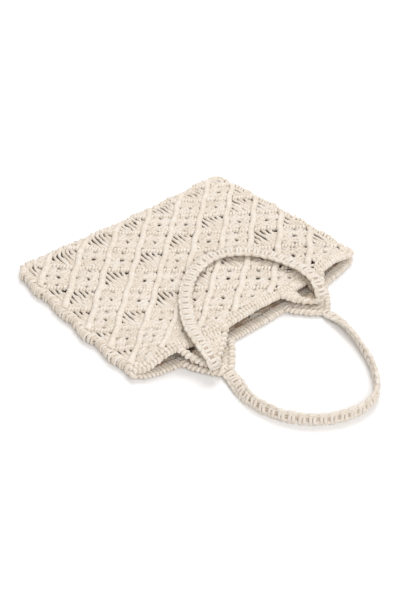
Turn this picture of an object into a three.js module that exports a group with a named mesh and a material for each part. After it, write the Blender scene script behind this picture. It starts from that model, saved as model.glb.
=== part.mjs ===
// A knotted cotton tote bag lying on its back, as it comes to rest when it is put down empty.
// Two net panels of diamond cells are laced together at the sides and the bottom. A rim band closes
// each panel at the mouth, and carries two gathered roots that taper into a flat knotted handle.
// The back handle lies on the floor in front of the mouth, and the front one is folded over the bag.
// Millimetres. +X runs along the mouth, +Y towards the bag's bottom, +Z up.
import * as THREE from 'three';

// Body outline
const MOUTH_WIDTH = 380;
const BOTTOM_WIDTH = 360;
const SIDE_BULGE = 3; // how far each side bows out at half height
const BOTTOM_Y = 146; // bag's bottom edge at its ends
const BOTTOM_DIP = 5; // how far the middle of the bottom edge is drawn in
const MOUTH_Y = -147; // rim's outer edge at mid mouth
const MOUTH_SETBACK = 19; // how far the ends of the mouth sit behind its middle
const MOUTH_BOW = 3.2; // power of that curve
const CORNER_RADIUS = 22;
const GAP = 0.3; // between pieces that meet

// Knotted wall: a flat web with raised ridges of hitches along the sides of every diamond
const WEB = 5;
const RELIEF = 2.2;
const WALL = WEB + RELIEF;
const RIDGE_TOP = 4.4;
const RIDGE_FOOT = 10;
const COLUMNS = 6; // diamonds across a panel
const FIRST_ROW = 0.45; // in half diamonds from the bottom
const LAST_ROW = 10.3;
const OPEN_ROWS = [1, 4, 7]; // rows of diamonds crossed by bare strands only
const OPEN_HOLE = 0.5; // a hole's size as a share of its diamond
const KNOT_HOLE = 0.15;

// Edge cords
const SEAM_WIDTH = 7;
const SEAM_HEIGHT = 14.6;
const RIM_DEPTH = 15;
const RIM_THICKNESS = 7.4;
const SIDE_STEPS = 6; // lengths that an edge is built from
const BOTTOM_STEPS = 24;
const RIM_STEPS = 28;

// Space inside, between the panels
const PINCH = 0.8; // panels almost touch at their laced edges
const BULGE = 8;
const MOUTH_CLOSING = 0.4; // share of that bulge which is lost towards the mouth
const RIM_LIFT = [
  // how far the front rim stands up along the mouth, from the left end to the right end
  { across: -1.0, lift: 0 },
  { across: -0.74, lift: 9.5 },
  { across: -0.48, lift: 2 },
  { across: -0.05, lift: 7.5 },
  { across: 0.38, lift: 2 },
  { across: 0.74, lift: 9.5 },
  { across: 1.0, lift: 0 },
];
// The two panels. setback: how far a raised rim is drawn back at mid mouth. The front net is pulled out
// of square, as shares of half its width and of its height: drift is its sideways pull at the mouth,
// drop its pull towards the mouth and skew the extra pull from its left side to its right
const BACK = { setback: 0, drift: 0, drop: 0, skew: 0 };
const FRONT = { setback: 8, drift: -0.14, drop: 0.06, skew: -0.28 };

// Handle roots
const ROOTS = {
  back_left_root: { rimX: -92, endX: -97, endY: -184 },
  back_right_root: { rimX: 73, endX: 71, endY: -179 },
  front_left_root: { rimX: -94, endX: -106, endY: -170 },
  front_right_root: { rimX: 73, endX: 69, endY: -163 },
};
const ROOT_THICKNESS = 7.4;
const ROOT_TAPER = [
  { along: 0.0, width: 78 },
  { along: 0.25, width: 67 },
  { along: 0.5, width: 53 },
  { along: 0.75, width: 38 },
  { along: 1.0, width: 21 },
];
const ROOT_FACE = 0.93; // width of a root's faces as a share of its full width
const ROOT_STEPS = { across: 8, along: 5, high: 2 };
const FRONT_ROOT_END_Z = 13;

// Handles: flat sinnets of square knots
const STRAP_WIDTH = 18;
const STRAP_THICKNESS = 8.5;
const BACK_HANDLE = [
  // heading: which way the strap runs in plan, lean: 0 lies flat, 90 stands on its edge, in degrees
  { x: -97, y: -184.3, heading: 270, lean: 0 },
  { x: -103, y: -204, heading: 250, lean: 22 },
  { x: -112, y: -234, heading: 262, lean: 66 },
  { x: -108, y: -266, heading: 286, lean: 84 },
  { x: -93, y: -296, heading: 304, lean: 88 },
  { x: -67, y: -319, heading: 325, lean: 88 },
  { x: -37, y: -331, heading: 348, lean: 88 },
  { x: -9, y: -331, heading: 374, lean: 88 },
  { x: 12, y: -320, heading: 398, lean: 88 },
  { x: 29, y: -302, heading: 411, lean: 87 },
  { x: 43, y: -280, heading: 420, lean: 84 },
  { x: 54, y: -256, heading: 427, lean: 76 },
  { x: 64, y: -229, heading: 434, lean: 56 },
  { x: 70, y: -202, heading: 440, lean: 20 },
  { x: 71, y: -179.3, heading: 450, lean: 0 },
];
const FRONT_HANDLE = [
  // z is the strap's middle; the strap turns over at both roots and then lies on the front panel
  { x: -106, y: -170.3, z: 13, heading: 90, climb: 180, lean: 0 },
  { x: -109.5, y: -176, z: 15.3, heading: 90, climb: 140, lean: 0 },
  { x: -112, y: -178, z: 20.5, heading: 88, climb: 90, lean: 0 },
  { x: -112.5, y: -173, z: 28, heading: 86, climb: 40, lean: 4 },
  { x: -110.5, y: -159, z: 33, heading: 82, climb: 8, lean: 6 },
  { x: -105, y: -137, z: 34, heading: 74, climb: -8, lean: 8 },
  { x: -92.5, y: -109, z: 30.5, heading: 64, climb: -8, lean: 3 },
  { x: -73.5, y: -80, z: 28.2, heading: 55, climb: -3, lean: 0 },
  { x: -51, y: -54, z: 27.4, heading: 45, climb: -2, lean: 0 },
  { x: -24, y: -34, z: 27.2, heading: 30, climb: -1, lean: 0 },
  { x: 6, y: -23, z: 27.1, heading: 8, climb: 0, lean: 0 },
  { x: 36, y: -25, z: 27.1, heading: -20, climb: 1, lean: 0 },
  { x: 62, y: -42, z: 27.2, heading: -46, climb: 2, lean: 0 },
  { x: 79.5, y: -68, z: 27.8, heading: -66, climb: 3, lean: 0 },
  { x: 86.5, y: -97, z: 29.6, heading: -83, climb: 7, lean: -3 },
  { x: 87, y: -124, z: 33, heading: -95, climb: 8, lean: -6 },
  { x: 83.5, y: -146, z: 33, heading: -104, climb: -8, lean: -8 },
  { x: 79, y: -161, z: 28.5, heading: -105, climb: -40, lean: -4 },
  { x: 75.5, y: -168, z: 21, heading: -98, climb: -90, lean: 0 },
  { x: 72.5, y: -167.5, z: 15.5, heading: -90, climb: -140, lean: 0 },
  { x: 69, y: -163.3, z: 13, heading: -90, climb: -180, lean: 0 },
];
const STRAP_STEPS = 56;

// Section of every edge cord and handle
const BAR_SIDES = 8;
const BLUNTNESS = 0.4; // power that squares the section's corners

const COTTON = 0xe6dccb;
const { lerp, degToRad, clamp } = THREE.MathUtils;

// Value of one column of a table at a place along it, eased between its rows
function fromTable(table, key, at, column) {
  let i = 0;
  while (i < table.length - 2 && at > table[i + 1][key]) i++;
  const [a, b] = [table[i], table[i + 1]];
  const share = clamp((at - a[key]) / (b[key] - a[key]), 0, 1);
  return lerp(a[column], b[column], share * share * (3 - 2 * share));
}

// The rim's outer edge, at -1 to 1 across the mouth
function mouthY(across) {
  return MOUTH_Y + MOUTH_SETBACK * Math.abs(across) ** MOUTH_BOW;
}

// How far the bottom edge is drawn in at x, between its rounded corners
function bottomDip(x) {
  const share = Math.abs(x) / (BOTTOM_WIDTH / 2 - CORNER_RADIUS);
  return BOTTOM_DIP * (1 - Math.min(1, share) ** 2);
}

// How far a panel's rim is drawn back, at -1 to 1 across the mouth
const setbackAt = (panel, across) => panel.setback * (1 - across ** 4);

// Half the bag's width at y, with its bottom corners rounded, for an outline set in by margin
function halfWidth(y, margin = 0) {
  const cornerY = BOTTOM_Y - CORNER_RADIUS;
  const share = Math.max(0, cornerY - y) / (cornerY - MOUTH_Y);
  const radius = CORNER_RADIUS - margin;
  const depth = clamp(BOTTOM_Y - margin - y, 0, radius);
  const rounding = radius - Math.sqrt(radius ** 2 - (radius - depth) ** 2);
  const bulge = SIDE_BULGE * 4 * share * (1 - share);
  return lerp(BOTTOM_WIDTH, MOUTH_WIDTH, share) / 2 + bulge - margin - rounding;
}

// Underside of the front panel, at across -1 to 1 and up 0 (bottom) to 1 (mouth)
function frontUnderside(across, up) {
  const inside = BULGE * Math.sqrt(up) * (1 - MOUTH_CLOSING * up) * (1 - Math.abs(across) ** 3);
  return WALL + PINCH + inside + fromTable(RIM_LIFT, 'across', across, 'lift') * up ** 3;
}

// A solid from triangles of points, with its faces turned outwards
function solidOf(triangles) {
  const volume = triangles.reduce((sum, [a, b, c]) => sum + a.dot(b.clone().cross(c)), 0);
  const points = triangles.flatMap(([a, b, c]) => (volume < 0 ? [a, c, b] : [a, b, c]));
  const geometry = new THREE.BufferGeometry().setFromPoints(points);
  geometry.computeVertexNormals();
  return geometry;
}

// A closed three.js geometry with every vertex moved by place(), which returns a point
function shaped(geometry, place) {
  const flat = geometry.toNonIndexed().getAttribute('position');
  const triangles = [];
  for (let i = 0; i < flat.count; i += 3) {
    const corners = [i, i + 1, i + 2].map((n) => {
      return place(new THREE.Vector3().fromBufferAttribute(flat, n));
    });
    const [a, b, c] = corners;
    if (a.distanceTo(b) * b.distanceTo(c) > 0) triangles.push(corners);
  }
  return solidOf(triangles);
}

// A bar of oblong section with blunted corners. place(along, wide, rise) gives the point at along
// 0 to 1, with wide and rise each from -1 to 1 over the section
function bar(steps, place) {
  const halfSide = Math.PI / BAR_SIDES;
  const blunt = (v) => Math.sign(v) * (Math.abs(v) / Math.cos(halfSide)) ** BLUNTNESS;
  const rod = new THREE.CylinderGeometry(1, 1, 1, BAR_SIDES, steps, false, halfSide);
  return shaped(rod, (p) => place(p.y + 0.5, blunt(p.x), blunt(p.z)));
}

// Panels

// Place of a lattice point on a panel: column 0 to COLUMNS, row up from the bottom
function onPanel(column, row, panel) {
  const squareAcross = (2 * column) / COLUMNS - 1;
  const squareUp = (row - FIRST_ROW) / (LAST_ROW - FIRST_ROW);
  const across = squareAcross + panel.drift * squareUp * (1 - squareAcross ** 2);
  const pull = panel.drop + panel.skew * squareAcross;
  const up = squareUp + pull * squareUp * (1 - squareUp);
  const margin = SEAM_WIDTH + GAP;
  const y = lerp(BOTTOM_Y - margin, mouthY(across) + setbackAt(panel, across) + RIM_DEPTH + GAP, up);
  const x = across * halfWidth(y, margin);
  return { x, y: y - bottomDip(x) * (1 - up), across, up };
}

// Part of a convex outline with its coordinate (0 column, 1 row) on the kept side of a limit
function trimmed(outline, coordinate, limit, keepBelow) {
  const inside = (p) => (keepBelow ? p[coordinate] <= limit : p[coordinate] >= limit);
  return outline.flatMap((p, i) => {
    const next = outline[(i + 1) % outline.length];
    const kept = inside(p) ? [p] : [];
    if (inside(p) === inside(next) || p[coordinate] === limit || next[coordinate] === limit) return kept;
    const share = (limit - p[coordinate]) / (next[coordinate] - p[coordinate]);
    const cut = [lerp(p[0], next[0], share), lerp(p[1], next[1], share)];
    cut[coordinate] = limit;
    return [...kept, cut];
  });
}

// The diamonds of a panel, trimmed to it, each an outline in lattice units. A half diamond at a side
// keeps its middle as a corner, so that both sides of the panel have a corner at every row
function diamonds() {
  const cells = [];
  for (let row = 0; row <= Math.ceil(LAST_ROW); row++) {
    for (let column = row % 2 ? 0 : 0.5; column <= COLUMNS; column++) {
      const atLeft = column === 0 ? [[column, row]] : [[column - 0.5, row]];
      const atRight = column === COLUMNS ? [[column, row]] : [[column + 0.5, row]];
      const whole = [[column, row - 1], ...atRight, [column, row + 1], ...atLeft];
      const outline = trimmed(trimmed(whole, 1, FIRST_ROW, false), 1, LAST_ROW, true);
      if (outline.length < 3) continue;
      const half = column === 0 || column === COLUMNS;
      const hole = OPEN_ROWS.includes(row) ? OPEN_HOLE : KNOT_HOLE;
      cells.push({ outline, hole: half || row === 0 || row > LAST_ROW ? 0 : hole });
    }
  }
  return cells;
}

const isEdge = (p, q, coordinate, limit) => p[coordinate] === limit && q[coordinate] === limit;

// A panel's wall. heights(across, up) gives z of its ridge tops, of its web and of its inner face
function netPanel(panel, heights) {
  const triangles = [];
  const quad = (a, b, c, d) => triangles.push([a, b, c], [a, c, d]);
  const band = (outer, inner) =>
    outer.forEach((p, i) => {
      const j = (i + 1) % outer.length;
      quad(p, outer[j], inner[j], inner[i]);
    });
  const fan = (ring) => {
    for (let i = 1; i < ring.length - 1; i++) triangles.push([ring[0], ring[i], ring[i + 1]]);
  };
  for (const { outline, hole } of diamonds()) {
    const corners = outline.map(([column, row]) => onPanel(column, row, panel));
    const middle = ['x', 'y', 'across', 'up'].reduce((m, key) => {
      m[key] = corners.reduce((sum, corner) => sum + corner[key], 0) / corners.length;
      return m;
    }, {});
    // A ring of the outline shrunk towards its middle, at one of the three heights
    const ring = (scale, level) =>
      corners.map((corner) => {
        const at = (key) => lerp(middle[key], corner[key], scale);
        return new THREE.Vector3(at('x'), at('y'), heights(at('across'), at('up'))[level]);
      });
    const sides = corners.map((p, i) => {
      const q = corners[(i + 1) % corners.length];
      return { length: Math.hypot(q.x - p.x, q.y - p.y), twiceArea: p.x * q.y - q.x * p.y };
    });
    const perimeter = sides.reduce((sum, side) => sum + side.length, 0);
    const inradius = Math.abs(sides.reduce((sum, side) => sum + side.twiceArea, 0)) / perimeter;
    const inset = (width) => 1 - width / 2 / inradius;
    const rim = ring(1, 'ridge');
    const inner = ring(1, 'inner');
    if (inset(RIDGE_FOOT) > KNOT_HOLE) {
      const top = ring(inset(RIDGE_TOP), 'ridge');
      const foot = ring(inset(RIDGE_FOOT), 'web');
      band(rim, top);
      band(top, foot);
      if (hole) {
        const holeOut = ring(hole, 'web');
        const holeIn = ring(hole, 'inner');
        band(foot, holeOut);
        band(holeOut, holeIn);
        band(holeIn, inner);
      } else {
        fan(foot);
        fan([...inner].reverse());
      }
    } else {
      fan(rim);
      fan([...inner].reverse());
    }
    outline.forEach((p, i) => {
      const j = (i + 1) % outline.length;
      const q = outline[j];
      const atSide = isEdge(p, q, 0, 0) || isEdge(p, q, 0, COLUMNS);
      const atEnd = isEdge(p, q, 1, FIRST_ROW) || isEdge(p, q, 1, LAST_ROW);
      if (atSide || atEnd) quad(inner[i], inner[j], rim[j], rim[i]);
    });
  }
  return solidOf(triangles);
}

const backPanel = netPanel(BACK, () => ({ ridge: 0, web: RELIEF, inner: WALL }));
const frontPanel = netPanel(FRONT, (across, up) => {
  const inner = frontUnderside(across, up);
  return { inner, web: inner + WEB, ridge: inner + WALL };
});

// Edge cords that lace the two panels together

function sideSeam(side) {
  const start = BOTTOM_Y - CORNER_RADIUS - GAP;
  const end = mouthY(1) + RIM_DEPTH + GAP;
  return bar(SIDE_STEPS, (along, wide, rise) => {
    const y = lerp(start, end, along);
    const x = side * (halfWidth(y) - SEAM_WIDTH / 2) + (wide * SEAM_WIDTH) / 2;
    return new THREE.Vector3(x, y, ((1 + rise) * SEAM_HEIGHT) / 2);
  });
}

// The bottom seam turns both corners: an arc, a straight run and an arc, each a third of its steps
function bottomSeam() {
  const reach = BOTTOM_WIDTH / 2 - CORNER_RADIUS;
  return bar(BOTTOM_STEPS, (along, wide, rise) => {
    const thirds = 3 * along;
    const turn = thirds < 1 ? 2 - thirds : Math.min(1, 3 - thirds);
    const radius = CORNER_RADIUS - ((1 - wide) * SEAM_WIDTH) / 2;
    const x = lerp(-reach, reach, clamp(thirds - 1, 0, 1)) + radius * Math.cos((turn * Math.PI) / 2);
    const y = BOTTOM_Y - CORNER_RADIUS + radius * Math.sin((turn * Math.PI) / 2) - bottomDip(x);
    return new THREE.Vector3(x, y, ((1 + rise) * SEAM_HEIGHT) / 2);
  });
}

// Rim bands along the mouth. floorAt(across) gives z of a band's underside
function rimBand(panel, floorAt) {
  return bar(RIM_STEPS, (along, wide, rise) => {
    const across = 2 * along - 1;
    const y = mouthY(across) + setbackAt(panel, across) + ((1 + wide) * RIM_DEPTH) / 2;
    return new THREE.Vector3(across * halfWidth(y), y, floorAt(across) + ((1 + rise) * RIM_THICKNESS) / 2);
  });
}

const onFloor = () => 0;
const onFrontRim = (across) => frontUnderside(across, 1);

// Handle roots: gathers that taper from the rim to the handle. endZ is the middle of the handle's end
function handleRoot({ rimX, endX, endY }, panel, floorAt, endZ) {
  const block = new THREE.BoxGeometry(1, 1, 1, ROOT_STEPS.across, ROOT_STEPS.along, ROOT_STEPS.high);
  return shaped(block, (p) => {
    const along = 0.5 - p.y;
    const fullness = p.z === 0 ? 1 : ROOT_FACE;
    const width = fromTable(ROOT_TAPER, 'along', along, 'width') * fullness;
    const x = lerp(rimX, endX, along) + p.x * width;
    const atRim = (2 * x) / MOUTH_WIDTH;
    const y = lerp(mouthY(atRim) + setbackAt(panel, atRim) - GAP, endY, along);
    const middle = lerp(floorAt(atRim) + ROOT_THICKNESS / 2, endZ, along);
    return new THREE.Vector3(x, y, middle + p.z * ROOT_THICKNESS);
  });
}

// Handles

// A strap along a table of stations: heading and climb point it, and lean turns it about its own length
function strap(stations) {
  const reach = stations.length - 1;
  const value = (key, at) => {
    const points = stations.map((row, i) => new THREE.Vector3(i, row[key], 0));
    return new THREE.CatmullRomCurve3(points, false, 'centripetal').getPoint(at).y;
  };
  const flatHalf = STRAP_THICKNESS / 2;
  const edgeHalf = STRAP_WIDTH / 2;
  return bar(STRAP_STEPS, (along, wide, rise) => {
    const at = (key) => value(key, along);
    const heading = degToRad(at('heading'));
    const climb = 'climb' in stations[0] ? degToRad(at('climb')) : 0;
    const lean = degToRad(at('lean'));
    const resting = edgeHalf * Math.sin(Math.abs(lean)) + flatHalf * Math.cos(lean);
    const z = 'z' in stations[reach] ? at('z') : resting;
    const flatSide = new THREE.Vector3(Math.sin(heading), -Math.cos(heading), 0);
    const run = new THREE.Vector3(
      Math.cos(climb) * Math.cos(heading),
      Math.cos(climb) * Math.sin(heading),
      Math.sin(climb),
    );
    const sideways = flatSide.applyAxisAngle(run, lean);
    const upwards = sideways.clone().cross(run);
    return new THREE.Vector3(at('x'), at('y'), z)
      .addScaledVector(sideways, wide * edgeHalf)
      .addScaledVector(upwards, rise * flatHalf);
  });
}

// Assembly

const backEnd = ROOT_THICKNESS / 2;
const pieces = {
  back_panel: backPanel,
  front_panel: frontPanel,
  left_seam: sideSeam(-1),
  right_seam: sideSeam(1),
  bottom_seam: bottomSeam(),
  back_rim: rimBand(BACK, onFloor),
  front_rim: rimBand(FRONT, onFrontRim),
  back_left_root: handleRoot(ROOTS.back_left_root, BACK, onFloor, backEnd),
  back_right_root: handleRoot(ROOTS.back_right_root, BACK, onFloor, backEnd),
  front_left_root: handleRoot(ROOTS.front_left_root, FRONT, onFrontRim, FRONT_ROOT_END_Z),
  front_right_root: handleRoot(ROOTS.front_right_root, FRONT, onFrontRim, FRONT_ROOT_END_Z),
  back_handle: strap(BACK_HANDLE),
  front_handle: strap(FRONT_HANDLE),
};

// The origin is moved to the middle of the bottom of the whole bag's box
const box = new THREE.Box3();
for (const geometry of Object.values(pieces)) {
  geometry.computeBoundingBox();
  box.union(geometry.boundingBox);
}
const centre = box.getCenter(new THREE.Vector3());

const bag = new THREE.Group();
for (const [name, geometry] of Object.entries(pieces)) {
  geometry.translate(-centre.x, -centre.y, -box.min.z);
  const cotton = new THREE.MeshStandardMaterial({ color: COTTON, roughness: 0.95, metalness: 0 });
  const mesh = new THREE.Mesh(geometry, cotton);
  mesh.name = name;
  bag.add(mesh);
}

export default bag;
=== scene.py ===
import math

import bmesh
import bpy
import numpy as np
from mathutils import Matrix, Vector


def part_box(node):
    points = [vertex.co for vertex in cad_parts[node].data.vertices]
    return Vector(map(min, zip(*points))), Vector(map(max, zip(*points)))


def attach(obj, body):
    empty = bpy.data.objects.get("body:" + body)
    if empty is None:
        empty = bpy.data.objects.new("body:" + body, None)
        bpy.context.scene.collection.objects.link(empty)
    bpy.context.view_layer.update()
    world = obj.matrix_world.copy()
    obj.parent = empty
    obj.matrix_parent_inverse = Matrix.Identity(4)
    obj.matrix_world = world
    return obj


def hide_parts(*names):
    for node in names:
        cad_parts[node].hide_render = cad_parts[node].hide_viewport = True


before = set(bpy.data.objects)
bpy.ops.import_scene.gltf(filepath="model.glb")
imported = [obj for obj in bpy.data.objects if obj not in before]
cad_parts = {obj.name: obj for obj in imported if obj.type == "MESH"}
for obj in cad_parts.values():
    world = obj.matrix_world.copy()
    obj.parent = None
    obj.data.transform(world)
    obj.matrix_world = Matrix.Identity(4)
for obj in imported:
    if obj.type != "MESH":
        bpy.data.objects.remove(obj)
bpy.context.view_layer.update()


# Ridges of the two net panels, which divide each panel into diamonds.
# Soft twisted cotton cord is hitched turn by turn over slanting holding cords. One slant runs
# unbroken from the mouth to the bottom, and the other slant stops at each crossing with it.
MM = 0.001  # sizes and places in this file are in mm, apart from the studio's
BOTTOM_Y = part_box("bottom_seam")[1].y / MM
MOUTH_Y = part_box("back_rim")[0].y / MM
MOUTH_WIDTH = 380
BOTTOM_WIDTH = 360
SIDE_BULGE = 3
BOTTOM_DIP = 5
MOUTH_SETBACK = 19  # of the mouth's corners from its middle,
MOUTH_BOW = 3.2  # with most of the curve near the corners
MOUTH_CORNER = 0.93  # from here across, the mouth's corners are rounded off
CORNER_ROUNDING = 6
FRONT_SETBACK = 8  # of the front rim from the back rim
FRONT_DRIFT = -0.14  # the front net is pulled out of square: sideways at the mouth,
FRONT_DROP = 0.06  # towards the mouth,
FRONT_SKEW = -0.28  # and more so at its left side than at its right
CORNER_RADIUS = 22
SEAM_WIDTH = 7
RIM_DEPTH = 15
GAP = 0.3  # between a panel and its seams and rim
EDGE = SEAM_WIDTH + GAP
WALL = 7.2  # thickness of a panel
PINCH = 0.8  # room between the panels at the seams
BULGE = 8  # of the front panel
BULGE_LOSS = 0.4  # share of the bulge that is gone again at the mouth
RIM_LIFT = [  # across the mouth, lift of the front rim
    (-1.0, 0), (-0.74, 9.5), (-0.48, 2), (-0.05, 7.5), (0.38, 2), (0.74, 9.5), (1.0, 0),
]
COLUMNS = 6
FIRST_ROW = 0.45  # place in the rows of diamonds where the net starts, at the bottom,
LAST_ROW = 10.3  # and where it ends, at the rim
ROW_PITCH = (BOTTOM_Y - EDGE - MOUTH_Y - RIM_DEPTH - GAP) / (LAST_ROW - FIRST_ROW)

PANEL_CORD = 2.1  # radius, as for all cords here
CORD_SIDES = 6
STEEP = 0.9  # rise over length, from which a cord counts as upright
HITCH_REACH = math.radians(128)  # a hitch goes this far round its holding cord, to each side
HITCH_POINTS = 8
HITCH_LEAN = 1.3
RIDGE_SLANTS = [
    # slant, distance between hitches, half width, half height and middle of their loops, core
    (1, 3.2, 3.0, 2.4, 4.5, 4.2),
    (-1, 4.5, 2.0, 2.2, 4.0, 2.8),
]
RIDGE_CORE_POINTS = 4  # of a holding cord, in each row of diamonds
RIDGE_SWAY = 1.1  # how far a ridge bends to and fro,
SWAY_LENGTH = 47  # over this length
CROSSING = 0.13  # of a row, kept clear by the slant that stops
PAINTED_SHADE_TOP = 4.2  # cord lower than this over the inner face, in the net's hollows, is given painted shade,
PAINTED_SHADE_DEPTH = 3.8  # which is full this far below,
PAINTED_SHADE_FADE = 2.5  # and grows mostly near there
WANDER = 0.25  # how far hand-tied cord strays from its place

tying = np.random.default_rng(11)  # seeded, so it strays the same way each time


def between(a, b, share):
    return a + (b - a) * share


def from_table(rows, at):
    """Value in a table's second column at a place along its first, eased between rows."""
    places, values = np.array(rows, float).T
    i = np.clip(np.searchsorted(places, at) - 1, 0, len(places) - 2)
    share = np.clip((at - places[i]) / (places[i + 1] - places[i]), 0, 1)
    return between(values[i], values[i + 1], share * share * (3 - 2 * share))


def mouth_edge(front, across):
    """y of a rim's outer edge, at -1 to 1 across the mouth."""
    setback = FRONT_SETBACK * (1 - across**4) if front else 0
    corner = np.maximum(0, (np.abs(across) - MOUTH_CORNER) / (1 - MOUTH_CORNER))
    bow = MOUTH_SETBACK * np.abs(across) ** MOUTH_BOW
    return MOUTH_Y + bow + CORNER_ROUNDING * corner**2 + setback


def half_width(y, margin=0):
    """Half the bag's width at y, for an outline set in by margin."""
    corner_y = BOTTOM_Y - CORNER_RADIUS
    share = np.maximum(0, corner_y - y) / (corner_y - MOUTH_Y)
    radius = CORNER_RADIUS - margin
    depth = np.clip(BOTTOM_Y - margin - y, 0, radius)
    rounding = radius - np.sqrt(radius**2 - (radius - depth) ** 2)
    bulge = SIDE_BULGE * 4 * share * (1 - share)
    return between(BOTTOM_WIDTH, MOUTH_WIDTH, share) / 2 + bulge - margin - rounding


def bottom_dip(x):
    """How far the bottom edge is drawn in at x, between its rounded corners."""
    share = np.abs(x) / (BOTTOM_WIDTH / 2 - CORNER_RADIUS)
    return BOTTOM_DIP * (1 - np.minimum(1, share) ** 2)


def front_floor(across, up):
    """z of the front panel's underside, at up 0 (bottom) to 1 (mouth)."""
    across = np.clip(across, -1, 1)
    up = np.clip(up, 0, 1)
    inside = BULGE * np.sqrt(up) * (1 - BULGE_LOSS * up) * (1 - np.abs(across) ** 3)
    return WALL + PINCH + inside + from_table(RIM_LIFT, across) * up**3


def on_panel(front, column, row, height):
    """Places on a panel, by column and row of its diamonds and height over its inner face."""
    across = 2 * column / COLUMNS - 1
    up = (row - FIRST_ROW) / (LAST_ROW - FIRST_ROW)
    if front:
        pull = FRONT_DROP + FRONT_SKEW * across
        across = across + FRONT_DRIFT * up * (1 - across**2)
        up = up + pull * up * (1 - up)
    y = between(BOTTOM_Y - EDGE, mouth_edge(front, across) + RIM_DEPTH + GAP, up)
    x = across * half_width(y, EDGE)
    z = front_floor(across, up) + height if front else WALL - height
    return np.stack([x, y - bottom_dip(x) * (1 - up), z], axis=-1)


COLUMN_PITCH = 2 * half_width((BOTTOM_Y + MOUTH_Y) / 2, EDGE) / COLUMNS


def unit(vectors):
    return vectors / np.linalg.norm(vectors, axis=-1, keepdims=True)


def cord_rings(routes, radius, sides):
    """A ring of points round every step of the routes, carried along without twisting."""
    run = unit(np.gradient(routes, axis=1))
    lying = np.abs(run[:, 0, 2:]) < STEEP
    side = unit(np.cross(run[:, 0], np.where(lying, [[0, 0, 1]], [[1, 0, 0]])))
    sideways = []
    for step in range(routes.shape[1]):
        side = unit(side - (side * run[:, step]).sum(1, keepdims=True) * run[:, step])
        sideways.append(side)
    side = np.stack(sideways, axis=1)[:, :, None]
    lift = np.cross(run[:, :, None], side)
    angle = (2 * np.pi * np.arange(sides) / sides)[:, None]
    return routes[:, :, None] + radius * (np.cos(angle) * side + np.sin(angle) * lift)


def cord_faces(index):
    """Corners of the walls and of the end caps, where index numbers the points of the rings."""
    after = np.roll(index, -1, axis=2)
    walls = np.stack([index[:, :-1], after[:, :-1], after[:, 1:], index[:, 1:]], axis=-1)
    caps = np.stack([index[:, 0, ::-1], index[:, -1]], axis=1)
    return walls, caps


def cord_uvs(routes, sides):
    """UVs of those walls' and caps' corners: mm along the cord, and turns round it."""
    cords, steps, _ = routes.shape
    spans = np.linalg.norm(np.diff(routes, axis=1), axis=2)
    lengths = np.concatenate([np.zeros((cords, 1)), np.cumsum(spans, axis=1)], axis=1)
    along = np.broadcast_to(lengths[:, :, None], (cords, steps, sides))
    turn = np.broadcast_to(np.arange(sides) / sides, (cords, steps, sides))
    here, after = turn[:, :-1], turn[:, :-1] + 1 / sides
    wall_u = np.stack([along[:, :-1], along[:, :-1], along[:, 1:], along[:, 1:]], axis=-1)
    wall_v = np.stack([here, after, after, here], axis=-1)
    cap_u, cap_v = along[:, [0, -1]], turn[:, [0, -1]]
    return [
        np.stack([u.ravel(), v.ravel()], axis=1) for u, v in [(wall_u, wall_v), (cap_u, cap_v)]
    ]


def lay_cords(name, bundles, cotton, painted_shade=None):
    """One mesh of closed cord tubes. A bundle is (routes as cords x points x 3, radius, sides).

    The last argument, if given, says how much painted shade each point gets, from 0 to 1, most
    deep in the piece's hollows. A bundle painted with one shade all along has it as a fourth
    value.
    """
    points, corners, face_sizes, uvs, tones, painted_shades = [], [], [], [], [], []
    first = 0
    for routes, radius, sides, *fixed_shade in bundles:
        cords, steps, _ = routes.shape
        above_floor = np.maximum(routes[..., 2:], radius)
        routes = np.concatenate([routes[..., :2], above_floor], axis=2)
        index = first + np.arange(cords * steps * sides).reshape(cords, steps, sides)
        walls, caps = cord_faces(index)
        points.append(cord_rings(routes, radius, sides).reshape(-1, 3))
        corners += [walls.ravel(), caps.ravel()]
        face_sizes += [np.full(walls[..., 0].size, 4), np.full(caps[..., 0].size, sides)]
        uvs += cord_uvs(routes, sides)
        tones.append(np.repeat(tying.random(cords), steps * sides))
        painted_shades.append(np.full(index.size, fixed_shade[0] if fixed_shade else 0.0))
        first += index.size
    points, sizes = np.concatenate(points), np.concatenate(face_sizes)
    mesh = bpy.data.meshes.new(name)
    mesh.vertices.add(first)
    mesh.vertices.foreach_set("co", (points * MM).ravel())
    mesh.loops.add(sizes.sum())
    mesh.loops.foreach_set("vertex_index", np.concatenate(corners).astype(np.int32))
    mesh.polygons.add(len(sizes))
    mesh.polygons.foreach_set("loop_start", (np.cumsum(sizes) - sizes).astype(np.int32))
    mesh.update(calc_edges=True)
    uv_map = mesh.uv_layers.new(name="along_and_round")
    uv_map.data.foreach_set("uv", np.concatenate(uvs).ravel())
    tone = mesh.attributes.new("tone", "FLOAT", "POINT")
    tone.data.foreach_set("value", np.concatenate(tones))
    # The depth attribute holds each point's painted shade.
    depth = mesh.attributes.new("depth", "FLOAT", "POINT")
    painted_shade_amount = painted_shade(points) if painted_shade else 0
    depth.data.foreach_set("value", np.maximum(np.concatenate(painted_shades), painted_shade_amount))
    mesh.shade_smooth()
    mesh.materials.append(cotton)
    cord = bpy.data.objects.new(name, mesh)
    bpy.context.scene.collection.objects.link(cord)
    return cord


def hitch_row(place, stations, half_across, half_high, middle):
    """Hitches over a holding cord, one to a station. place(along, across, height) gives points."""
    turn = np.linspace(-1, 1, HITCH_POINTS)[None]
    stray = WANDER * tying.standard_normal((len(stations), 1))
    along = stations[:, None] + HITCH_LEAN * turn + stray
    across = half_across * np.sin(turn * HITCH_REACH)
    height = middle + half_high * np.cos(turn * HITCH_REACH)
    return place(along, across + 0 * along, height + 0 * along)


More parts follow.
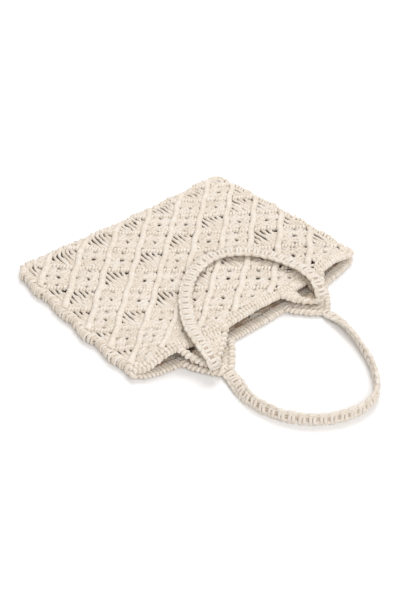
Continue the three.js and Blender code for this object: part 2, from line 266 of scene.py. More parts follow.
def ridge_lines(slant):
    """(where it crosses the bottom, first row, last row) of every ridge of one slant."""
    for start in range(-2 * COLUMNS, 4 * COLUMNS, 2):
        ends = sorted([slant * start, slant * (start - 2 * COLUMNS)])
        first, last = max(ends[0], FIRST_ROW), min(ends[1], LAST_ROW)
        if last - first > CROSSING:
            yield start, first, last


def ridge_place(front, start, slant):
    """place() of one ridge, where along is mm of its length from row 0, and the mm in a row."""
    half_column = COLUMN_PITCH / 2
    length = math.hypot(half_column, ROW_PITCH)

    def place(along, across, height):
        row = along / length
        column = (start - slant * row) / 2
        across = across + RIDGE_SWAY * np.sin(2 * math.pi * along / SWAY_LENGTH + start)
        row_shift = across * slant * half_column / length / ROW_PITCH
        column_shift = across * ROW_PITCH / length / COLUMN_PITCH
        return on_panel(front, column + column_shift, row + row_shift, height)

    return place, length


def panel_painted_shade(front):
    """Painted shade of a panel's cord, from 0 to 1: darkest near the panel's inner face."""

    def painted_shade(points):
        x, y, z = points.T
        up = (BOTTOM_Y - EDGE - y) / (BOTTOM_Y - EDGE - MOUTH_Y - RIM_DEPTH)
        floor = front_floor(x / half_width(y, EDGE), up)
        height = z - floor if front else WALL - z
        return np.clip((PAINTED_SHADE_TOP - height) / PAINTED_SHADE_DEPTH, 0, 1) ** PAINTED_SHADE_FADE

    return painted_shade


def panel_ridges(front):
    bundles = []
    for slant, pitch, half_across, half_high, middle, core_height in RIDGE_SLANTS:
        for start, first, last in ridge_lines(slant):
            place, length = ridge_place(front, start, slant)
            stations = np.arange(first * length + pitch / 2, last * length, pitch)
            rows = stations / length
            if slant < 0:
                stations = stations[np.abs(rows - np.round(rows)) > CROSSING]
            hitches = hitch_row(place, stations, half_across, half_high, middle)
            points = RIDGE_CORE_POINTS * math.ceil(last - first) + 1
            line = np.linspace(first, last, points)[None] * length
            core = place(line, 0 * line, core_height + 0 * line)
            bundles += [(hitches, PANEL_CORD, CORD_SIDES), (core, PANEL_CORD, CORD_SIDES)]
    return bundles


PLIES = 3
GROOVE_SHARPNESS = 3.0
FIBRE_STRETCH = 0.1  # fibres run along the cord, so their noise is drawn out that way
TONE_OFFSET = 60.0  # each cord, by its tone, has another part of the noise
FIBRE_SCALE = 5.0
FIBRE_DETAIL = 4.0
FIBRE_ROUGHNESS = 0.65
BLOTCH_SCALE = 0.6
BLOTCH_DETAIL = 2.0
PLY_RELIEF = 0.8
FIBRE_RELIEF = 0.5
BLOTCH_SHADE = 0.7  # what makes the cotton lighter, and by how much
TONE_SHADE = 0.35
FIBRE_SHADE = 0.35
# painted shade: the grooves between the plies are darkened
GROOVE_SHADE = -0.3
DARKEST, LIGHTEST = 0.25, 0.9  # sums of these that are the dark and the light colour
SMOOTHEST, ROUGHEST = 0.84, 0.98
BUMP_STRENGTH = 0.4
BUMP_HEIGHT = 0.7
SPECULAR = 0.2
SHEEN = 0.25
SHEEN_ROUGHNESS = 0.6


def node(tree, kind, sockets=(), **values):
    """A shader node with its values set. sockets pairs an input with a value or an output."""
    made = tree.nodes.new(kind)
    for key, value in values.items():
        setattr(made, key, value)
    for socket, source in sockets:
        if isinstance(source, bpy.types.NodeSocket):
            tree.links.new(source, made.inputs[socket])
        else:
            made.inputs[socket].default_value = source
    return made


def twisted_cotton_group():
    """Cord of soft plies: its grooves, fibres and uneven colour, from the cord's own UV map, and
    painted shade.
    """
    group = bpy.data.node_groups.new("twisted_cotton", "ShaderNodeTree")
    for name, in_out, kind in [
        ("Light", "INPUT", "NodeSocketColor"),
        ("Dark", "INPUT", "NodeSocketColor"),
        ("Painted shade", "INPUT", "NodeSocketColor"),
        ("Twist length", "INPUT", "NodeSocketFloat"),
        ("Color", "OUTPUT", "NodeSocketColor"),
        ("Roughness", "OUTPUT", "NodeSocketFloat"),
        ("Height", "OUTPUT", "NodeSocketFloat"),
    ]:
        group.interface.new_socket(name, in_out=in_out, socket_type=kind)

    def calc(operation, *inputs):
        sockets = list(enumerate(inputs))
        return node(group, "ShaderNodeMath", sockets, operation=operation).outputs[0]

    def mix(share, color, other):
        sockets = [(0, share), (6, color), (7, other)]  # factor and the two colours
        return node(group, "ShaderNodeMix", sockets, data_type="RGBA").outputs[2]

    given = group.nodes.new("NodeGroupInput").outputs
    uv = node(group, "ShaderNodeUVMap", uv_map="along_and_round").outputs[0]
    tone = node(group, "ShaderNodeAttribute", attribute_name="tone").outputs["Fac"]
    depth = node(group, "ShaderNodeAttribute", attribute_name="depth").outputs["Fac"]
    along, turn, _ = node(group, "ShaderNodeSeparateXYZ", [(0, uv)]).outputs

    turns = calc("ADD", calc("DIVIDE", along, given["Twist length"]), turn)
    angle = calc("MULTIPLY", turns, 2 * math.pi)
    ply = calc("ABSOLUTE", calc("SINE", calc("MULTIPLY", angle, PLIES / 2)))
    groove = calc("POWER", calc("SUBTRACT", 1.0, ply), GROOVE_SHARPNESS)

    drift = calc("MULTIPLY_ADD", along, FIBRE_STRETCH, calc("MULTIPLY", tone, TONE_OFFSET))
    around = [(0, calc("COSINE", angle)), (1, calc("SINE", angle)), (2, drift)]
    on_cord = node(group, "ShaderNodeCombineXYZ", around).outputs[0]
    fibre_noise = [
        ("Vector", on_cord),
        ("Scale", FIBRE_SCALE),
        ("Detail", FIBRE_DETAIL),
        ("Roughness", FIBRE_ROUGHNESS),
    ]
    fibres = node(group, "ShaderNodeTexNoise", fibre_noise).outputs["Fac"]
    blotch_noise = [("Vector", on_cord), ("Scale", BLOTCH_SCALE), ("Detail", BLOTCH_DETAIL)]
    blotches = node(group, "ShaderNodeTexNoise", blotch_noise).outputs["Fac"]

    shade = calc("MULTIPLY_ADD", blotches, BLOTCH_SHADE, calc("MULTIPLY", tone, TONE_SHADE))
    # Painted shade in the grooves between the plies.
    shade = calc("MULTIPLY_ADD", groove, GROOVE_SHADE, shade)
    shade = calc("MULTIPLY_ADD", fibres, FIBRE_SHADE, shade)
    shades = [("Value", shade), ("From Min", DARKEST), ("From Max", LIGHTEST)]
    lightness = node(group, "ShaderNodeMapRange", shades).outputs[0]
    # Painted shade: the depth attribute mixes in the shade colour, for cord deep in the hollows.
    color = mix(depth, mix(lightness, given["Dark"], given["Light"]), given["Painted shade"])
    nap = [("Value", fibres), ("To Min", SMOOTHEST), ("To Max", ROUGHEST)]
    roughness = node(group, "ShaderNodeMapRange", nap).outputs[0]
    height = calc("MULTIPLY_ADD", ply, PLY_RELIEF, calc("MULTIPLY", fibres, FIBRE_RELIEF))
    results = [("Color", color), ("Roughness", roughness), ("Height", height)]
    node(group, "NodeGroupOutput", results)
    return group


TWISTED_COTTON = twisted_cotton_group()


# A cotton's light and dark colours vary at random; its third colour is painted shade, mixed in by
# the depth attribute.
def cotton_material(name, light, dark, painted_shade, twist_length):
    material = bpy.data.materials.new(name)
    material.use_nodes = True
    tree = material.node_tree
    finish = [
        ("Light", (*light, 1)),
        ("Dark", (*dark, 1)),
        ("Painted shade", (*painted_shade, 1)),
        ("Twist length", twist_length),
    ]
    cord = node(tree, "ShaderNodeGroup", finish, node_tree=TWISTED_COTTON).outputs
    relief = [
        ("Height", cord["Height"]),
        ("Strength", BUMP_STRENGTH),
        ("Distance", BUMP_HEIGHT * MM),
    ]
    bump = node(tree, "ShaderNodeBump", relief).outputs[0]
    shader = tree.nodes["Principled BSDF"].inputs
    tree.links.new(cord["Color"], shader["Base Color"])
    tree.links.new(cord["Roughness"], shader["Roughness"])
    tree.links.new(bump, shader["Normal"])
    shader["Specular IOR Level"].default_value = SPECULAR
    shader["Sheen Weight"].default_value = SHEEN
    shader["Sheen Roughness"].default_value = SHEEN_ROUGHNESS
    return material


# The ridges' cotton is painted lighter than the panels', for the light that their raised hitches
# catch.
ridge_cotton_painted_light = cotton_material(
    "ridge_cotton_painted_light",
    light=(0.83, 0.775, 0.70),
    dark=(0.71, 0.62, 0.50),
    # painted shade, for ridge cord deep in the net's hollows
    painted_shade=(0.30, 0.20, 0.125),
    twist_length=17,
)

PANELS = [("back", False), ("front", True)]
for panel, front in PANELS:
    ridges = lay_cords(f"{panel}_ridges", panel_ridges(front), ridge_cotton_painted_light, panel_painted_shade(front))
    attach(ridges, "root")
    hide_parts(f"{panel}_panel")


# Square knots that fill most of the diamonds, four to a diamond round a small hole.
# Each is tied from four cotton cords: two run straight through, and the outer two cross twice, one
# in front of them and one behind, before they part to the next knots or go under a ridge.
OPEN_ROWS = [1, 4, 7]
KNOT_CORD = 2.7
FRONT_CROSSING = [  # across, up, height over the panel's inner face
    (-6.4, 5.4, 3.7), (-5.0, 3.4, 4.5), (0, 2.7, 4.8), (5.0, 2.3, 4.5), (7.0, 0, 3.4),
    (5.0, -2.3, 4.5), (0, -2.7, 4.8), (-5.0, -3.4, 4.5), (-6.4, -5.4, 3.7),
]
BACK_CROSSING = [
    (7.0, 5.6, 4.0), (7.2, 3.2, 3.8), (4.5, 2.0, 1.2), (-4.5, 2.8, 1.2), (-7.4, 1.8, 3.4),
    (-7.8, 0, 4.3),
    (-7.4, -1.8, 3.4), (-4.5, -2.8, 1.2), (4.5, -2.0, 1.2), (7.2, -3.2, 3.8), (7.0, -5.6, 4.0),
]
STRAIGHT = [(2.2, 5.4, 3.7), (2.2, -5.4, 3.7)]
LOW = 3.1  # height of a cord between knots
POLE_ENDS = [  # across and up of each cord's upper end, and of its lower end
    (-5.5, 11, -11, -6.5), (-2.0, 12, -6.6, -8.0), (2.0, 12, 6.6, -8.0), (5.5, 11, 11, -6.5),
]
SIDE_ENDS = [(-7, 9, -7, -9), (-3, 11, -3, -11), (1.2, 9, 1.2, -9), (4, 7.5, 4, -7.5)]
KNOTS = [  # across and up from the diamond's middle, cord ends, mirrored across, mirrored up
    (0, 10.0, POLE_ENDS, 1, 1),
    (0, -10.0, POLE_ENDS, 1, -1),
    (-11.7, 0, SIDE_ENDS, 1, 1),
    (11.7, 0, SIDE_ENDS, -1, 1),
]
FIRST_KNOT_LIFT = 6.5  # the bottom row's knots sit higher, clear of the edge
LAST_KNOT_ROW = 10.26  # the top row's knots are drawn down, clear of the rim


def square_knot(ends, handed):
    """The four cords of one knot. ends has the upper and lower end of each, from left to right."""

    def with_ends(middle, end):
        return np.array([(end[0], end[1], LOW), *middle, (end[2], end[3], LOW)])

    flip = np.array([handed, 1, 1])
    order = ends if handed > 0 else ends[::-1]
    return [
        with_ends(FRONT_CROSSING * flip, order[0]),
        with_ends(BACK_CROSSING * flip, order[3]),
        with_ends(STRAIGHT * np.array([-1, 1, 1]), ends[1]),
        with_ends(STRAIGHT, ends[2]),
    ]


def tie_knots(place, middles, ends, handed, mirror, radius):
    """Bundles of like knots, one to a middle. place(middles, across, up, height) gives points."""
    bundles = []
    for cord in square_knot(ends, handed):
        stray = WANDER * tying.standard_normal((len(middles), len(cord), 3))
        points = cord * np.array([*mirror, 1]) + stray
        routes = place(middles, *np.moveaxis(points, 2, 0))
        bundles.append((routes, radius, CORD_SIDES))
    return bundles


def whole_diamonds():
    for row in range(math.ceil(LAST_ROW)):
        for column in np.arange(0.5 if row % 2 == 0 else 1, COLUMNS):
            yield column, row


def panel_knots(front):
    def place(middles, across, up, height):
        column = middles[:, :1] + across / COLUMN_PITCH
        row = middles[:, 1:] + up / ROW_PITCH
        return on_panel(front, column, row, height)

    bundles = []
    for across, up, ends, *mirror in KNOTS:
        for handed in (1, -1):
            middles = []
            for column, row in whole_diamonds():
                lift = FIRST_KNOT_LIFT if row == 0 else 0
                knot_row = min(row + (up + lift) / ROW_PITCH, LAST_KNOT_ROW)
                here = 1 if (row + math.floor(column)) % 2 else -1
                clear_of_edge = knot_row > FIRST_ROW + CROSSING
                if row not in OPEN_ROWS and here == handed and clear_of_edge:
                    middles.append((column + across / COLUMN_PITCH, knot_row))
            bundles += tie_knots(place, np.array(middles), ends, handed, mirror, KNOT_CORD)
    return bundles


panel_cotton = cotton_material(
    "panel_cotton",
    light=(0.78, 0.725, 0.65),
    dark=(0.645, 0.55, 0.435),
    # painted shade, for cord deep in the net's hollows
    painted_shade=(0.30, 0.20, 0.125),
    twist_length=17,
)

for panel, front in PANELS:
    knots = lay_cords(f"{panel}_knots", panel_knots(front), panel_cotton, panel_painted_shade(front))
    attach(knots, "root")
    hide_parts(f"{panel}_panel")


# Bare cotton strands that cross the open diamonds and the half diamonds at the sides.
# They come out in pairs from under one ridge, with dark gaps between the pairs, and then lie side
# by side, slack and unknotted, until they go in under the next ridge.
STRANDS = 12
STRAND_CORD = 2.2
STRAND_PITCH = 3.6
STRAND_POINTS = 9
PAIRING = 2.1  # how far the two strands of a pair lean together where they come out
PARTED = 0.2  # of their length, after which they close up,
CLOSED = 0.62  # as far as this
BEHIND_SEAM = 0.15  # of their length is hidden where they come out of the bottom seam
STRAND_HEIGHT = 2.6
STRAND_RISE = 1.0  # of the slackest strand in its middle
LEAST_RISE = 0.2  # share of this that every strand has
STRAND_BOW = 3.4  # how far slack strands bend to one side
STRAND_STRAY = 0.6


def bare_strands(front):
    cells = [(column, row, -1, 1) for column, row in whole_diamonds() if row in OPEN_ROWS]
    for row in range(1, math.ceil(LAST_ROW), 2):
        cells += [(0, row, 0, 1), (COLUMNS, row, -1, 0)]
    along = np.linspace(0, 1, STRAND_POINTS)
    numbers = np.arange(STRANDS)
    offsets = (numbers - (STRANDS - 1) / 2) * STRAND_PITCH
    partners = np.where(numbers % 2 == 0, 1, -1)
    routes = []
    for column, row, first, last in cells:
        for offset, partner in zip(offsets, partners):
            share = 2 * offset / COLUMN_PITCH
            if not first < share < last:
                continue
            top = 1 - abs(share)
            edge = FIRST_ROW - row - CROSSING
            low = max(-top, edge)
            hidden = BEHIND_SEAM if low == edge else 0
            rows = np.minimum(row + between(low, top, along), LAST_ROW + CROSSING)
            parting = np.clip((CLOSED + hidden - along) / (CLOSED - PARTED), 0, 1)
            lean = PAIRING * partner * parting
            slack = np.sin(math.pi * along)
            bow = STRAND_BOW * slack * min(0, -share)
            arch = STRAND_RISE * slack * tying.uniform(LEAST_RISE, 1)
            stray = STRAND_STRAY * slack * tying.standard_normal((2, STRAND_POINTS))
            columns = column + (offset + lean + bow + stray[0]) / COLUMN_PITCH
            routes.append(on_panel(front, columns, rows, STRAND_HEIGHT + arch + stray[1]))
    return [(np.array(routes), STRAND_CORD, CORD_SIDES)]


for panel, front in PANELS:
    strands = lay_cords(f"{panel}_strands", bare_strands(front), panel_cotton, panel_painted_shade(front))
    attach(strands, "root")
    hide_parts(f"{panel}_panel")


# Seams at the two sides and the bottom, where the panels are laced together.
# One cotton cord is whipped by hand over both panels' edges, each turn close to the last but none
# quite in line, so the bag's edge is a soft uneven border that swells beside every diamond.
SEAM_CORD = 2.0
SEAM_PITCH = 4.3
SEAM_LEAN = 3.4
SEAM_STRAY = 0.9  # how far its turns stray from their places
SWELL = 1.8
SEAM_TURN = [  # inwards from the seam's outer face, up
    (9.8, 10.6), (7.6, 12.2), (4.9, 12.5), (2.6, 11.0), (1.9, 7.3),
    (2.6, 3.4), (4.9, 2.0), (7.6, 2.0), (9.8, 3.0),
]
SEAM_CORES = [(4.5, 4.5), (4.5, 10.1)]  # the panels' edge cords inside it: inwards, up
TURN_STEPS = 2  # from each point of a bent cord to the next


def through(points, steps):
    """Smooth routes through points, as cords x points x 3, with steps from each to the next."""
    before = 2 * points[:, :1] - points[:, 1:2]
    after = 2 * points[:, -1:] - points[:, -2:-1]
    chain = np.concatenate([before, points, after], axis=1)[:, :, None]
    a, b, c, d = (chain[:, i : i + points.shape[1] - 1] for i in range(4))
    t = (np.arange(steps) / steps)[:, None]
    bends = b + 0.5 * t * (c - a + t * (2 * a - 5 * b + 4 * c - d + t * (3 * b - a - 3 * c + d)))
    bends = bends.reshape(len(points), -1, points.shape[2])
    return np.concatenate([bends, points[:, -1:]], axis=1)


def edge_turns(place, stations, profile, lean, stray):
    """Turns of cord over an edge. place(along, inwards, up) gives points, and profile one turn."""
    inwards, up = np.array(profile, float).T
    shift = np.linspace(-lean, lean, len(inwards))
    along = stations[:, None] + shift + stray * tying.standard_normal((len(stations), 1))
    loose = stray * tying.standard_normal((len(stations), 1))
    loose = loose + WANDER * tying.standard_normal(along.shape)
    return through(place(along, inwards + loose, up + 0 * along), TURN_STEPS)


def side_seam_place(side):
    def place(along, inwards, up):
        y = along
        swell = SWELL * np.cos(np.pi * (BOTTOM_Y - y) / ROW_PITCH)
        return np.stack([side * (half_width(y) - inwards + swell), y, up], axis=-1)

    return place


def bottom_seam_place(along, inwards, up):
    """along runs from the left corner's start, round both corners."""
    arc = math.pi / 2 * CORNER_RADIUS
    run = BOTTOM_WIDTH / 2 - CORNER_RADIUS
    straight = np.clip(along - arc, 0, 2 * run)
    turned = (along - straight) / CORNER_RADIUS
    radius = CORNER_RADIUS - inwards
    x = straight - run - radius * np.cos(turned)
    y = BOTTOM_Y - CORNER_RADIUS + radius * np.sin(turned)
    column = COLUMNS * (x / BOTTOM_WIDTH + 0.5)
    between_corners = (straight > 0) * (straight < 2 * run)
    swell = -SWELL * np.cos(2 * np.pi * (column + FIRST_ROW / 2)) * between_corners
    return np.stack([x, y - bottom_dip(x) + swell, up], axis=-1)


edge_cotton = cotton_material(
    "edge_cotton",
    light=(0.81, 0.75, 0.67),
    dark=(0.67, 0.575, 0.455),
    # painted shade, for the front roots' sagging knots
    painted_shade=(0.48, 0.315, 0.18),
    twist_length=18,
)

side_start = BOTTOM_Y - CORNER_RADIUS
side_end = mouth_edge(False, 1) + RIM_DEPTH
bottom_length = math.pi * CORNER_RADIUS + BOTTOM_WIDTH - 2 * CORNER_RADIUS
SEAMS = [
    ("left_seam", side_seam_place(-1), np.arange(side_end, side_start, SEAM_PITCH)),
    ("right_seam", side_seam_place(1), np.arange(side_end, side_start, SEAM_PITCH)),
    ("bottom_seam", bottom_seam_place, np.arange(SEAM_PITCH / 2, bottom_length, SEAM_PITCH)),
]
for seam, place, stations in SEAMS:
    turns = edge_turns(place, stations, SEAM_TURN, SEAM_LEAN, SEAM_STRAY)
    line = stations[None]
    cores = [place(line, inwards + 0 * line, up + 0 * line) for inwards, up in SEAM_CORES]
    whipping = lay_cords(
        f"{seam}_whipping",
        [(turns, SEAM_CORD, CORD_SIDES), (np.concatenate(cores), SEAM_CORD, CORD_SIDES)],
        edge_cotton,
    )
    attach(whipping, "root")
    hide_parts(seam)


# Rims along the mouth, one to each panel, which run into each other at the mouth's two corners.
# The panel's cotton cords are folded over a holding cord at the edge, turn beside turn, and tied
# off behind it in one row of hitches along the mouth.
RIM_THICKNESS = 7.4
RIM_CORD = 2.2
RIM_PITCH = 4.6
RIM_LEAN = 1.3
RIM_TURN = [  # back from the mouth's edge, inwards from the middle of the rim
    (14.0, 1.4), (10.0, 1.8), (6.0, 1.9), (3.4, 1.5),
    (2.2, 0), (3.4, -1.5), (5.4, -1.8), (7.2, -0.8),
]
RIM_FOLD = 5.0  # the holding cord in the fold, back from the edge
RIM_ROW = 11.2  # the row of hitches, back from the edge
RIM_ROW_PITCH = 4.8
RIM_ROW_LOOP = (2.6, 1.7, 0)  # half width, half height and middle of their loops
CORNER_TURN = 4.0  # radius of the rim's turn from front to back
CORNER_PIVOT = 7.7  # z of that turn's middle


def rim_place(front):
    """place() of a rim, where along is x, and how far it reaches.

    Past its ends the rim turns down, or up, to meet the other rim.
    """
    end = half_width(mouth_edge(front, 1) + RIM_DEPTH / 2) - CORNER_TURN - RIM_THICKNESS / 2

    def place(along, back, up):
        past = np.clip(np.abs(along) - end, 0, None)
        turned = past / CORNER_TURN
        x = np.clip(along, -end, end)
        across = np.clip(x / end, -1, 1)
        y = mouth_edge(front, across) + back
        floor = front_floor(across, 1) if front else 0
        middle = floor + RIM_THICKNESS / 2
        radius = CORNER_TURN + (up if front else -up)
        turn_x = np.sign(along) * radius * np.sin(turned)
        turn_z = radius * np.cos(turned) * (1 if front else -1) + CORNER_PIVOT
        straight = past == 0
        x = x + np.where(straight, 0, turn_x)
        z = np.where(straight, middle + up, turn_z)
        return np.stack([x, y, z], axis=-1)

    return place, end + CORNER_TURN * math.pi / 2


def rim_row_place(place, front):
    """place() of a rim's row of hitches, whose loops show on the outside."""
    outwards = 1 if front else -1
    return lambda along, across, height: place(along, RIM_ROW + across, outwards * height)


for panel, front in PANELS:
    place, reach = rim_place(front)
    turn = np.array(RIM_TURN) * [1, -1 if front else 1]
    fold = edge_turns(place, np.arange(-reach, reach, RIM_PITCH), turn, RIM_LEAN, WANDER)
    stations = np.arange(-reach, reach, RIM_ROW_PITCH)
    row = hitch_row(rim_row_place(place, front), stations, *RIM_ROW_LOOP)
    line = np.arange(-reach, reach, RIM_PITCH)[None]
    cores = [place(line, back + 0 * line, 0 * line) for back in (RIM_FOLD, RIM_ROW)]
    rim = lay_cords(
        f"{panel}_rim_turns",
        [
            (fold, RIM_CORD, CORD_SIDES),
            (row, PANEL_CORD, CORD_SIDES),
            (np.concatenate(cores), RIM_CORD, CORD_SIDES),
        ],
        edge_cotton,
    )
    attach(rim, "root")
    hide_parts(f"{panel}_rim")


# Roots of the handles: gathers of square knots that narrow from the rim to the handle.
# Cotton cords are picked up along the rim, knotted in rows that each start half a knot further in,
# and bound along both slanting sides by a ridge of hitches. The front roots sag into a hollow.
ROOTS = [
    # panel, side, x at the rim, x and y at the handle, middle of the hollow, rows of knots:
    # mm from the rim, and the knots' places across in knot pitches
    (
        "back", "left", -92, -97, MOUTH_Y - 37, None,
        [(5, (-1, 0, 1)), (16, (-0.5, 0.5)), (27, (0,))],
    ),
    (
        "back", "right", 73, 71, MOUTH_Y - 32, None,
        [(5, (-1, 0, 1)), (15, (-0.5, 0.5)), (25, (0,))],
    ),
    (
        "front", "left", -94, -106, MOUTH_Y - 23, -20,
        [(5, (-1, 0, 1)), (15, (-0.5, 0.5)), (25, (0,))],
    ),
    ("front", "right", 73, 69, MOUTH_Y - 16, -2, [(4, (-1.1, 1)), (18, (-0.1,))]),
]
ROOT_THICKNESS = 7.4
FRONT_ROOT_END_Z = 13
ROOT_TAPER = [(0, 78), (0.25, 67), (0.5, 53), (0.75, 38), (1, 21)]  # along, width
ROOT_CORD = 2.3
ROOT_KNOT_PITCH = 17.5
ROOT_ENDS = [(-5, 10, -5, -10), (-2, 11, -2, -11), (2, 11, 2, -11), (5, 10, 5, -10)]
KNOT_MIDDLE = 3.0  # height of a knot's middle in its own table
KNOT_PRESS = 0.75  # knots of a root are pressed flatter
ROOT_BORDER = 5.4  # the border's middle, in from the root's edge
BORDER_START = -4  # it starts behind the rim's edge
BORDER_PITCH = 5.0
BORDER_LOOP = (3.3, 2.2, 0.8)  # half width, half height and middle of its hitches' loops
BORDER_CORD = 2.6
BORDER_CORE_POINTS = 12
ROOT_SINK = 11  # depth of the hollow that a front root sags into
SINK_WIDTH = 10
SINK_TOP = 18  # z at which its shade starts


def root_place(front, rim_x, end_x, end_y):
    """place() of a root, where along is mm from the rim's edge, and its length."""
    length = mouth_edge(front, 2 * rim_x / MOUTH_WIDTH) - end_y

    def place(along, across, height):
        share = along / length
        x = between(rim_x, end_x, share) + across
        at_rim = np.clip(2 * x / MOUTH_WIDTH, -1, 1)
        y = between(mouth_edge(front, at_rim), end_y, share)
        floor = front_floor(at_rim, 1) if front else 0
        end = FRONT_ROOT_END_Z if front else ROOT_THICKNESS / 2
        z = between(floor + ROOT_THICKNESS / 2, end, np.clip(share, 0, 1))
        return np.stack([x, y, z + height], axis=-1)

    return place, length


def root_knot_place(place, length, hollow_across):
    """place() of a root's knots, which sag where it has a hollow."""

    def knot_place(middles, across, up, height):
        along = middles[:, 1:] - up
        across = middles[:, :1] + across
        height = (height - KNOT_MIDDLE) * KNOT_PRESS
        if hollow_across is not None:
            nearness = np.exp(-(((across - hollow_across) / SINK_WIDTH) ** 2))
            height = height - ROOT_SINK * (nearness * (1 - along / length))
        return place(along, across, height)

    return knot_place


def border_place(place, length, side):
    """place() of the border along one slanting side of a root."""

    def on_border(along, across, height):
        width = from_table(ROOT_TAPER, along / length)
        return place(along, side * (width / 2 - ROOT_BORDER) + across, height)

    return on_border


# Painted shade of a front root's cord: darker the lower it lies below SINK_TOP.
def root_painted_shade(points):
    return np.clip((SINK_TOP - points[:, 2]) / ROOT_SINK, 0, 1)


for panel, side, rim_x, end_x, end_y, hollow_across, knot_rows in ROOTS:
    place, length = root_place(panel == "front", rim_x, end_x, end_y)
    knot_place = root_knot_place(place, length, hollow_across)
    bundles = []
    for along, knots in knot_rows:
        middles = np.array([(across * ROOT_KNOT_PITCH, along) for across in knots])
        bundles += tie_knots(knot_place, middles, ROOT_ENDS, 1, (1, 1), ROOT_CORD)
    for edge in (-1, 1):
        on_border = border_place(place, length, edge)
        stations = np.arange(BORDER_START, length, BORDER_PITCH)
        hitches = hitch_row(on_border, stations, *BORDER_LOOP)
        line = np.linspace(BORDER_START, length, BORDER_CORE_POINTS)[None]
        core = on_border(line, 0 * line, 0 * line)
        bundles += [(hitches, BORDER_CORD, CORD_SIDES), (core, BORDER_CORD, CORD_SIDES)]
    # Front roots with a sag get painted shade in it.
    painted_shade = None if hollow_across is None else root_painted_shade
    root = lay_cords(f"{panel}_{side}_root_knots", bundles, edge_cotton, painted_shade)
    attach(root, "root")
    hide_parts(f"{panel}_{side}_root")


# Handles: flat sinnets of square knots in a thicker cotton cord.
# Two working cords swing from edge to edge, one over each face of the core cords, and hook round
# each other in a loop at the edge, so each face is a ladder of bars between two rows of loops.
STRAP_WIDTH = 18
STRAP_THICKNESS = 8.5
STRAP_STEPS = 24  # from each row of a handle's table to the next
HANDLE_CORD = 2.15
HANDLE_CORD_SIDES = 7
BAR_PITCH = 5.9
PAIR = 0.7  # bars draw together in twos, one knot's worth
RUN_SHIFT = BOTTOM_Y - 146  # these tables have the bag's bottom edge at y 146
BACK_HANDLE = [  # x, y, heading in plan, lean: 0 lies flat, 90 stands on its edge
    (-97, -184.3, 270, 0), (-103, -204, 250, 22), (-112, -234, 262, 66), (-108, -266, 286, 84),
    (-93, -296, 304, 88), (-67, -319, 325, 88), (-37, -331, 348, 88), (-9, -331, 374, 88),
    (12, -320, 398, 88), (29, -302, 411, 87), (43, -280, 420, 84), (54, -256, 427, 76),
    (64, -229, 434, 56), (70, -202, 440, 20), (71, -179.3, 450, 0),
]
FRONT_HANDLE = [  # x, y, z, heading, climb, lean
    (-106, -170.3, 13, 90, 180, 0), (-109.5, -176, 15.3, 90, 140, 0),
    (-112, -178, 20.5, 88, 90, 0), (-112.5, -173, 28, 86, 40, 4),
    (-110.5, -159, 33, 82, 8, 6), (-105, -137, 34, 74, -8, 8),
    (-92.5, -109, 30.5, 64, -8, 3), (-73.5, -80, 28.2, 55, -3, 0),
    (-51, -54, 27.4, 45, -2, 0), (-24, -34, 27.2, 30, -1, 0),
    (6, -23, 27.1, 8, 0, 0), (36, -25, 27.1, -20, 1, 0),
    (62, -42, 27.2, -46, 2, 0), (79.5, -68, 27.8, -66, 3, 0),
    (86.5, -97, 29.6, -83, 7, -3), (87, -124, 33, -95, 8, -6),
    (83.5, -146, 33, -104, -8, -8), (79, -161, 28.5, -105, -40, -4),
    (75.5, -168, 21, -98, -90, 0), (72.5, -167.5, 15.5, -90, -140, 0),
    (69, -163.3, 13, -90, -180, 0),
]
BAR = [  # across, along, up: one bar, and the turn to the next
    (-4.4, -0.3, 0.0), (-3.6, -0.1, 1.7), (0, 0, 2.0), (3.6, 0.1, 1.7), (4.4, 0.3, 0.0),
    (4.2, 2.9, -0.4),
]
EDGE_LOOP = [  # across, along, up: the loop at the edge of each knot
    (5.6, -4.6, 0), (6.7, -3.2, 0), (6.9, 0, 0), (6.7, 3.2, 0), (5.6, 4.6, 0),
]
CORE_ACROSS = (-3.3, 0, 3.3)
CORE_CORD = 1.6
CORE_POINTS = 2  # to each bar
CORE_SHADE = 0.35  # painted shade on the core, which shows only deep between the bars


def strap_frame(table):
    """Length so far, middle, sideways and upward directions, closely spaced along a handle."""
    rows = through(np.array(table, float)[None], STRAP_STEPS)[0]
    if rows.shape[1] == 4:
        x, y, heading, lean = rows.T
        z, climb = None, 0 * heading
    else:
        x, y, z, heading, climb, lean = rows.T
    heading, climb, lean = np.radians(heading), np.radians(climb), np.radians(lean)
    if z is None:
        z = STRAP_WIDTH / 2 * np.sin(np.abs(lean)) + STRAP_THICKNESS / 2 * np.cos(lean)
    level = np.cos(climb)
    run = np.stack([level * np.cos(heading), level * np.sin(heading), np.sin(climb)], axis=1)
    flat = np.stack([np.sin(heading), -np.cos(heading), 0 * heading], axis=1)
    sideways = flat * np.cos(lean)[:, None] + np.cross(run, flat) * np.sin(lean)[:, None]
    middle = np.stack([x, y + RUN_SHIFT, z], axis=1)
    spans = np.linalg.norm(np.diff(middle, axis=0), axis=1)
    lengths = np.concatenate([[0], np.cumsum(spans)])
    return lengths, middle, sideways, np.cross(sideways, run)


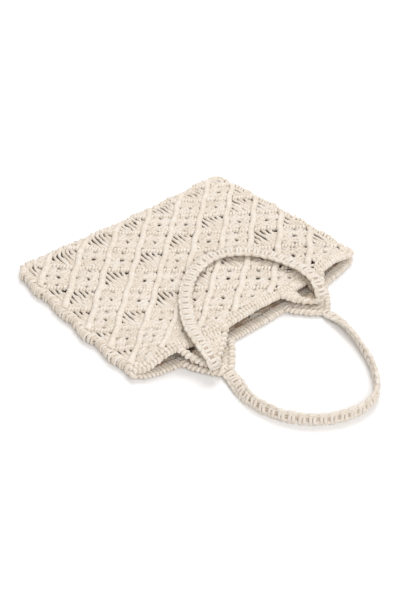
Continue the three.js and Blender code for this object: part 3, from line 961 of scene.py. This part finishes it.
def sinnet(table):
    lengths, *axes = strap_frame(table)

    def place(points):
        across, along, up = points.T
        middle, sideways, upward = (
            np.stack([np.interp(along, lengths, axis[:, i]) for i in range(3)], axis=1)
            for axis in axes
        )
        return (middle + across[:, None] * unit(sideways) + up[:, None] * unit(upward))[None]

    def bend(points):
        points += WANDER * tying.standard_normal(points.shape)
        return place(through(points[None], TURN_STEPS)[0]), HANDLE_CORD, HANDLE_CORD_SIDES

    bars = round(lengths[-1] / BAR_PITCH)
    pitch = lengths[-1] / bars
    bundles = []
    for face in (1, -1):
        swings = []
        for n in range(bars):
            hand = 1 if n % 2 == 0 else -1
            swing = np.array(BAR) * [hand * face, 1, face]
            swings.append(swing + [0, (n + 0.5) * pitch + PAIR * hand * face, 0])
        bundles.append(bend(np.concatenate(swings)))
    for edge in (1, -1):
        for n in range(0, bars - 1, 2):
            bundles.append(bend(np.array(EDGE_LOOP) * [edge, 1, 1] + [0, (n + 1) * pitch, 0]))
    for across in CORE_ACROSS:
        along = np.linspace(0, lengths[-1], CORE_POINTS * bars)
        core = np.stack([across + 0 * along, along, 0 * along], axis=1)
        bundles.append((place(core), CORE_CORD, CORD_SIDES, CORE_SHADE))
    return bundles


handle_cotton = cotton_material(
    "handle_cotton",
    light=(0.79, 0.735, 0.66),
    dark=(0.66, 0.575, 0.465),
    # painted shade, for the core cords between the bars
    painted_shade=(0.46, 0.30, 0.17),
    twist_length=19,
)

for panel, table in [("back", BACK_HANDLE), ("front", FRONT_HANDLE)]:
    handle = lay_cords(f"{panel}_handle_sinnet", sinnet(table), handle_cotton)
    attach(handle, "root")
    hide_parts(f"{panel}_handle")


# Studio: a plain white paper floor that the bag lies on, and two large soft lamps, one above and
# behind the bag and one in front of it, with soft warm light from all round. The camera stands
# where the photograph was taken from, over the left front corner of the mouth.
FLOOR_SIZE = 12  # m, as all sizes of the studio
PAPER_WHITE = (0.92, 0.92, 0.92)
PAPER_ROUGHNESS = 0.9
ROOM_LIGHT = (1, 0.945, 0.89)
ROOM_STRENGTH = 0.55
LIGHTS = [  # name, place, size, watts, colour
    ("overhead", (0.7, 0.7, 1.9), 1.2, 24, (0.98, 1, 1.04)),
    ("front", (-0.8, -1.9, 1.8), 1.6, 36, (0.98, 1, 1.04)),
]
CAMERA_TARGET = Vector((-0.0283, 0.0390, 0))
CAMERA_AZIMUTH = math.radians(-40.9)
CAMERA_ELEVATION = math.radians(38.29)
CAMERA_DISTANCE = 1.410
LENS = 65.9

paper = bpy.data.materials.new("white_paper")
paper.use_nodes = True
paper_shader = paper.node_tree.nodes["Principled BSDF"].inputs
paper_shader["Base Color"].default_value = (*PAPER_WHITE, 1)
paper_shader["Roughness"].default_value = PAPER_ROUGHNESS

sheet = bmesh.new()
bmesh.ops.create_grid(sheet, x_segments=1, y_segments=1, size=FLOOR_SIZE / 2)
floor_mesh = bpy.data.meshes.new("floor")
sheet.to_mesh(floor_mesh)
sheet.free()
floor_mesh.materials.append(paper)
floor = bpy.data.objects.new("floor", floor_mesh)
bpy.context.scene.collection.objects.link(floor)

world = bpy.data.worlds.new("studio")
world.use_nodes = True
room = world.node_tree.nodes["Background"].inputs
room["Color"].default_value = (*ROOM_LIGHT, 1)
room["Strength"].default_value = ROOM_STRENGTH
bpy.context.scene.world = world
bpy.context.scene.view_settings.view_transform = "Standard"

for name, place, size, watts, color in LIGHTS:
    lamp = bpy.data.lights.new(name, "AREA")
    lamp.size = size
    lamp.energy = watts
    lamp.color = color
    light = bpy.data.objects.new(name, lamp)
    light.location = place
    light.rotation_euler = (-Vector(place)).to_track_quat("-Z", "Y").to_euler()
    bpy.context.scene.collection.objects.link(light)

camera_data = bpy.data.cameras.new("camera")
camera_data.lens = LENS
camera = bpy.data.objects.new("camera", camera_data)
back = Vector((
    math.sin(CAMERA_AZIMUTH) * math.cos(CAMERA_ELEVATION),
    -math.cos(CAMERA_AZIMUTH) * math.cos(CAMERA_ELEVATION),
    math.sin(CAMERA_ELEVATION),
))
camera.location = CAMERA_TARGET + back * CAMERA_DISTANCE
camera.rotation_euler = (-back).to_track_quat("-Z", "Y").to_euler()
bpy.context.scene.collection.objects.link(camera)
bpy.context.scene.camera = camera
